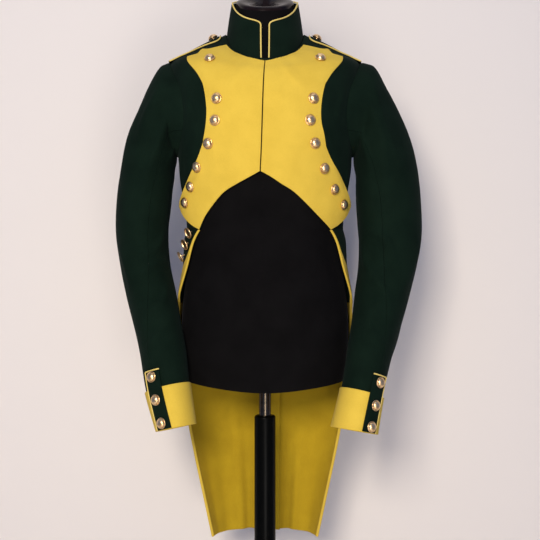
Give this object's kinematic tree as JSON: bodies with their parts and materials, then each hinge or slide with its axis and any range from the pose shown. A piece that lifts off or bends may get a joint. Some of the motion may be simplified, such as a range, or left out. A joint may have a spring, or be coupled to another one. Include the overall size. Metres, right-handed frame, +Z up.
{
  "type": "hussar jacket on dress form",
  "caption": "Dark green cutaway cavalry tail coat with yellow plastron lapels, facings and cuffs, on a black limbless dress form with a pole stand.",
  "frame": {"origin": "centre of the underside of the stand's round foot", "axes": "+Z up the pole, -Y the coat's front, +X the wearer's left"},
  "size_m": [0.5465, 0.38, 1.553],
  "materials": {
    "green_wool": "fulled dark green broadcloth",
    "yellow_wool": "fulled yellow broadcloth",
    "yellow_lining": "yellow wool serge lining",
    "pale_cord": "pale yellow cloth piping",
    "gilt": "pale gilt, polished",
    "black_jersey": "black jersey cover",
    "neck_lacquer": "dark brown lacquer",
    "chrome": "polished chrome",
    "black_paint": "gloss black enamel"
  },
  "bodies": {
    "root": {"front_left": "green_wool", "back_left": "green_wool", "front_right": "green_wool", "back_right": "green_wool", "lapel_left": "yellow_wool", "lapel_right": "yellow_wool", "sleeve_upper_left": "green_wool", "sleeve_under_left": "green_wool", "sleeve_upper_right": "green_wool", "sleeve_under_right": "green_wool", "cuff_left": "yellow_wool", "cuff_flap_left": "green_wool", "cuff_flap_piping_left": "pale_cord", "cuff_right": "yellow_wool", "cuff_flap_right": "green_wool", "cuff_flap_piping_right": "pale_cord", "collar": "green_wool", "collar_piping": "pale_cord", "shoulder_strap_left": "green_wool", "strap_piping_left": "pale_cord", "shoulder_strap_right": "green_wool", "strap_piping_right": "pale_cord", "tail_left": "green_wool", "tail_lining_left": "yellow_lining", "skirt_facing_left": "yellow_wool", "tail_right": "green_wool", "tail_lining_right": "yellow_lining", "skirt_facing_right": "yellow_wool", "lapel_button_left_1": "gilt", "lapel_button_left_2": "gilt", "lapel_button_left_3": "gilt", "lapel_button_left_4": "gilt", "lapel_button_left_5": "gilt", "lapel_button_left_6": "gilt", "lapel_button_left_7": "gilt", "cuff_button_left_1": "gilt", "cuff_button_left_2": "gilt", "cuff_button_left_3": "gilt", "strap_button_left": "gilt", "lapel_button_right_1": "gilt", "lapel_button_right_2": "gilt", "lapel_button_right_3": "gilt", "lapel_button_right_4": "gilt", "lapel_button_right_5": "gilt", "lapel_button_right_6": "gilt", "lapel_button_right_7": "gilt", "cuff_button_right_1": "gilt", "cuff_button_right_2": "gilt", "cuff_button_right_3": "gilt", "strap_button_right": "gilt", "waist_button_1": "gilt", "waist_button_2": "gilt", "waist_button_3": "gilt", "form_torso": "black_jersey", "neck_cap": "neck_lacquer", "stand_rod": "chrome", "stand_pole": "black_paint", "stand_base": "black_paint"}
  },
  "joints": []
}
